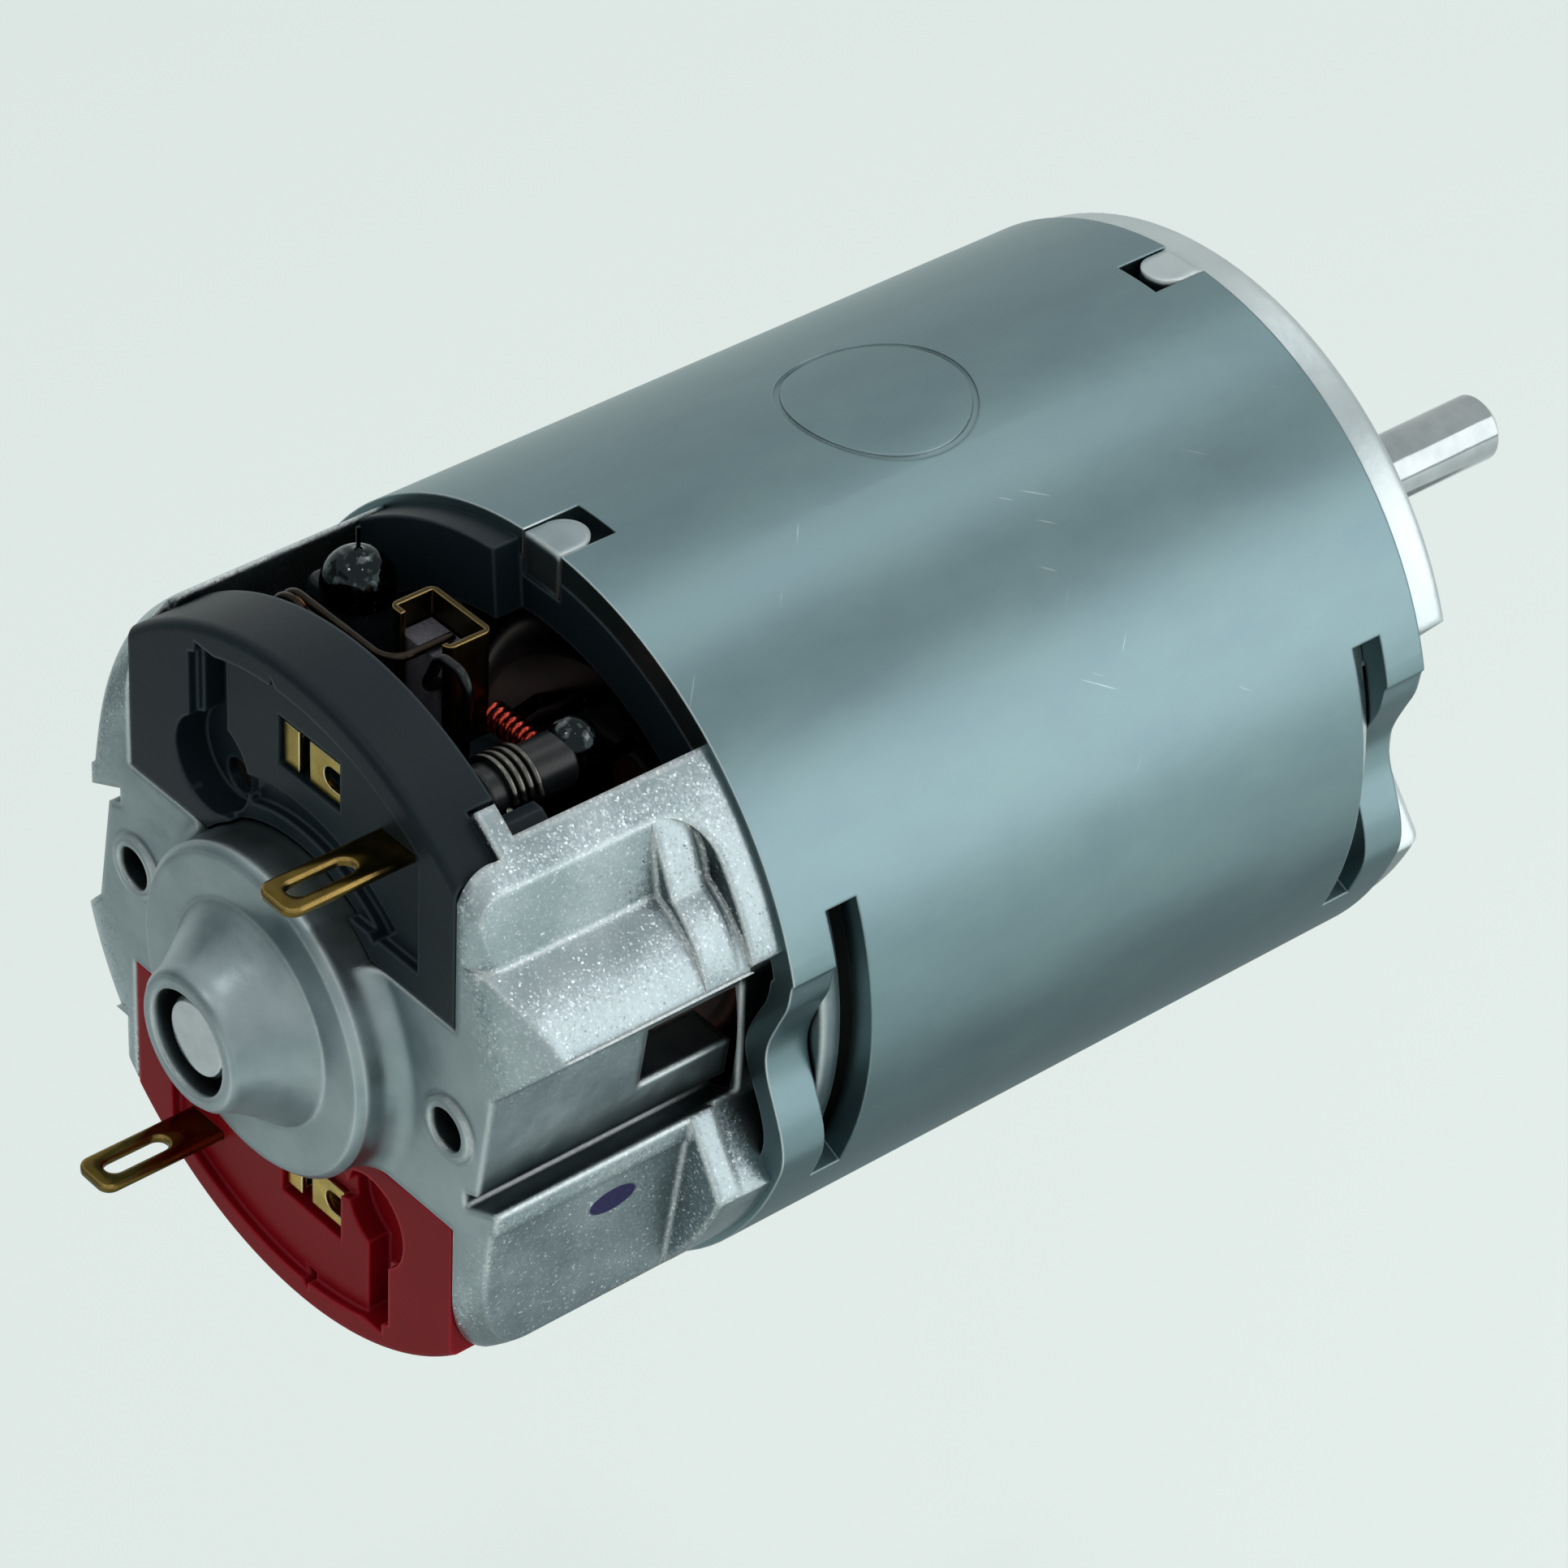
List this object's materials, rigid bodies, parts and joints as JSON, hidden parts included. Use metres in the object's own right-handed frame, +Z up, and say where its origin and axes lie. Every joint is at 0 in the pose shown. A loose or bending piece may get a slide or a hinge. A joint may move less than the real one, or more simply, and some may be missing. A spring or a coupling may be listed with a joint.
{
  "type": "electric motor",
  "caption": "Small brushed direct-current motor: round steel can, cast end shields, open brush gear with black and red holders, blade terminals and a plain round shaft.",
  "frame": {"origin": "centre of the front mounting face, on the shaft's axis", "axes": "+Y along the output shaft, out of the front; +Z up through the black brush holder; +X to the right seen from the brush end"},
  "size_m": [0.042, 0.0917, 0.042],
  "materials": {
    "can_steel": "zinc plated, satin",
    "zinc_casting": "die cast, matt",
    "magnet_ferrite": "ground ferrite",
    "spring_steel": "bright",
    "shaft_steel": "ground",
    "sintered_bronze": "oiled, matt",
    "oil_felt": "felt",
    "core_steel": "varnished",
    "winding_copper": "enamelled",
    "commutator_copper": "turned",
    "moulding_brown": "moulded",
    "insulator_fibre": "fibre",
    "spacer_nylon": "moulded",
    "black_plastic": "moulded, satin",
    "red_plastic": "moulded, satin",
    "terminal_brass": "stamped",
    "brush_carbon": "matt",
    "pigtail_copper": "tinned braid",
    "choke_ferrite": "satin",
    "tinned_wire": "bright",
    "red_wire": "enamelled",
    "solder": "satin",
    "capacitor_resin": "dipped"
  },
  "bodies": {
    "stator": {"motor_can": "can_steel", "front_end_shield": "zinc_casting", "rear_end_shield": "zinc_casting", "left_magnet": "magnet_ferrite", "right_magnet": "magnet_ferrite", "upper_magnet_spring": "spring_steel", "lower_magnet_spring": "spring_steel", "front_bush": "sintered_bronze", "rear_bush": "sintered_bronze", "front_oil_felt": "oil_felt", "rear_oil_felt": "oil_felt", "front_bush_clip": "spring_steel", "rear_bush_clip": "spring_steel", "upper_brush_holder": "black_plastic", "lower_brush_holder": "red_plastic", "upper_contact_clip": "terminal_brass", "lower_contact_clip": "terminal_brass", "upper_terminal": "terminal_brass", "upper_brush_sleeve": "terminal_brass", "upper_choke_core": "choke_ferrite", "upper_choke_winding": "tinned_wire", "upper_cross_coil": "red_wire", "upper_capacitor": "capacitor_resin", "upper_solder_joints": "solder", "upper_insulating_arc": "black_plastic", "lower_terminal": "terminal_brass", "lower_brush_sleeve": "terminal_brass", "lower_choke_core": "choke_ferrite", "lower_choke_winding": "tinned_wire", "lower_cross_coil": "red_wire", "lower_capacitor": "capacitor_resin", "lower_solder_joints": "solder", "lower_insulating_arc": "black_plastic"},
    "rotor": {"motor_shaft": "shaft_steel", "armature_core": "core_steel", "armature_windings": "winding_copper", "front_end_insulator": "insulator_fibre", "rear_end_insulator": "insulator_fibre", "commutator_segments": "commutator_copper", "commutator_hub": "moulding_brown", "front_spacer": "spacer_nylon", "rear_spacer": "spacer_nylon", "front_thrust_washer": "spacer_nylon", "rear_thrust_washer": "spacer_nylon"},
    "upper_brush_body": {"upper_brush": "brush_carbon", "upper_pigtail": "pigtail_copper"},
    "upper_spring_body": {"upper_brush_spring": "spring_steel"},
    "lower_brush_body": {"lower_brush": "brush_carbon", "lower_pigtail": "pigtail_copper"},
    "lower_spring_body": {"lower_brush_spring": "spring_steel"}
  },
  "joints": [
    {"name": "rotor_spin", "type": "hinge", "parent": "stator", "child": "rotor", "pos_m": [0, 0, 0], "axis": [0, 1, 0], "continuous": true},
    {"name": "upper_brush_slide", "type": "slide", "parent": "stator", "child": "upper_brush_body", "axis": [0, 0, 1], "range_m": [0, 0.0025], "stiffness_N_per_m": 150, "springref_m": -0.006, "deforming": ["upper_pigtail"]},
    {"name": "upper_spring_swing", "type": "hinge", "parent": "stator", "child": "upper_spring_body", "pos_m": [-0.007, -0.0557, 0.0166], "axis": [0, -1, 0], "range_deg": [0, 21.5]},
    {"name": "lower_brush_slide", "type": "slide", "parent": "stator", "child": "lower_brush_body", "axis": [0, 0, -1], "range_m": [0, 0.0025], "stiffness_N_per_m": 150, "springref_m": -0.006, "deforming": ["lower_pigtail"]},
    {"name": "lower_spring_swing", "type": "hinge", "parent": "stator", "child": "lower_spring_body", "pos_m": [0.007, -0.0557, -0.0166], "axis": [0, -1, 0], "range_deg": [0, 21.5]}
  ],
  "couplings": [
    {"joint": "upper_spring_swing", "follows": "upper_brush_slide", "rad_per_m": 150},
    {"joint": "lower_spring_swing", "follows": "lower_brush_slide", "rad_per_m": 150}
  ]
}
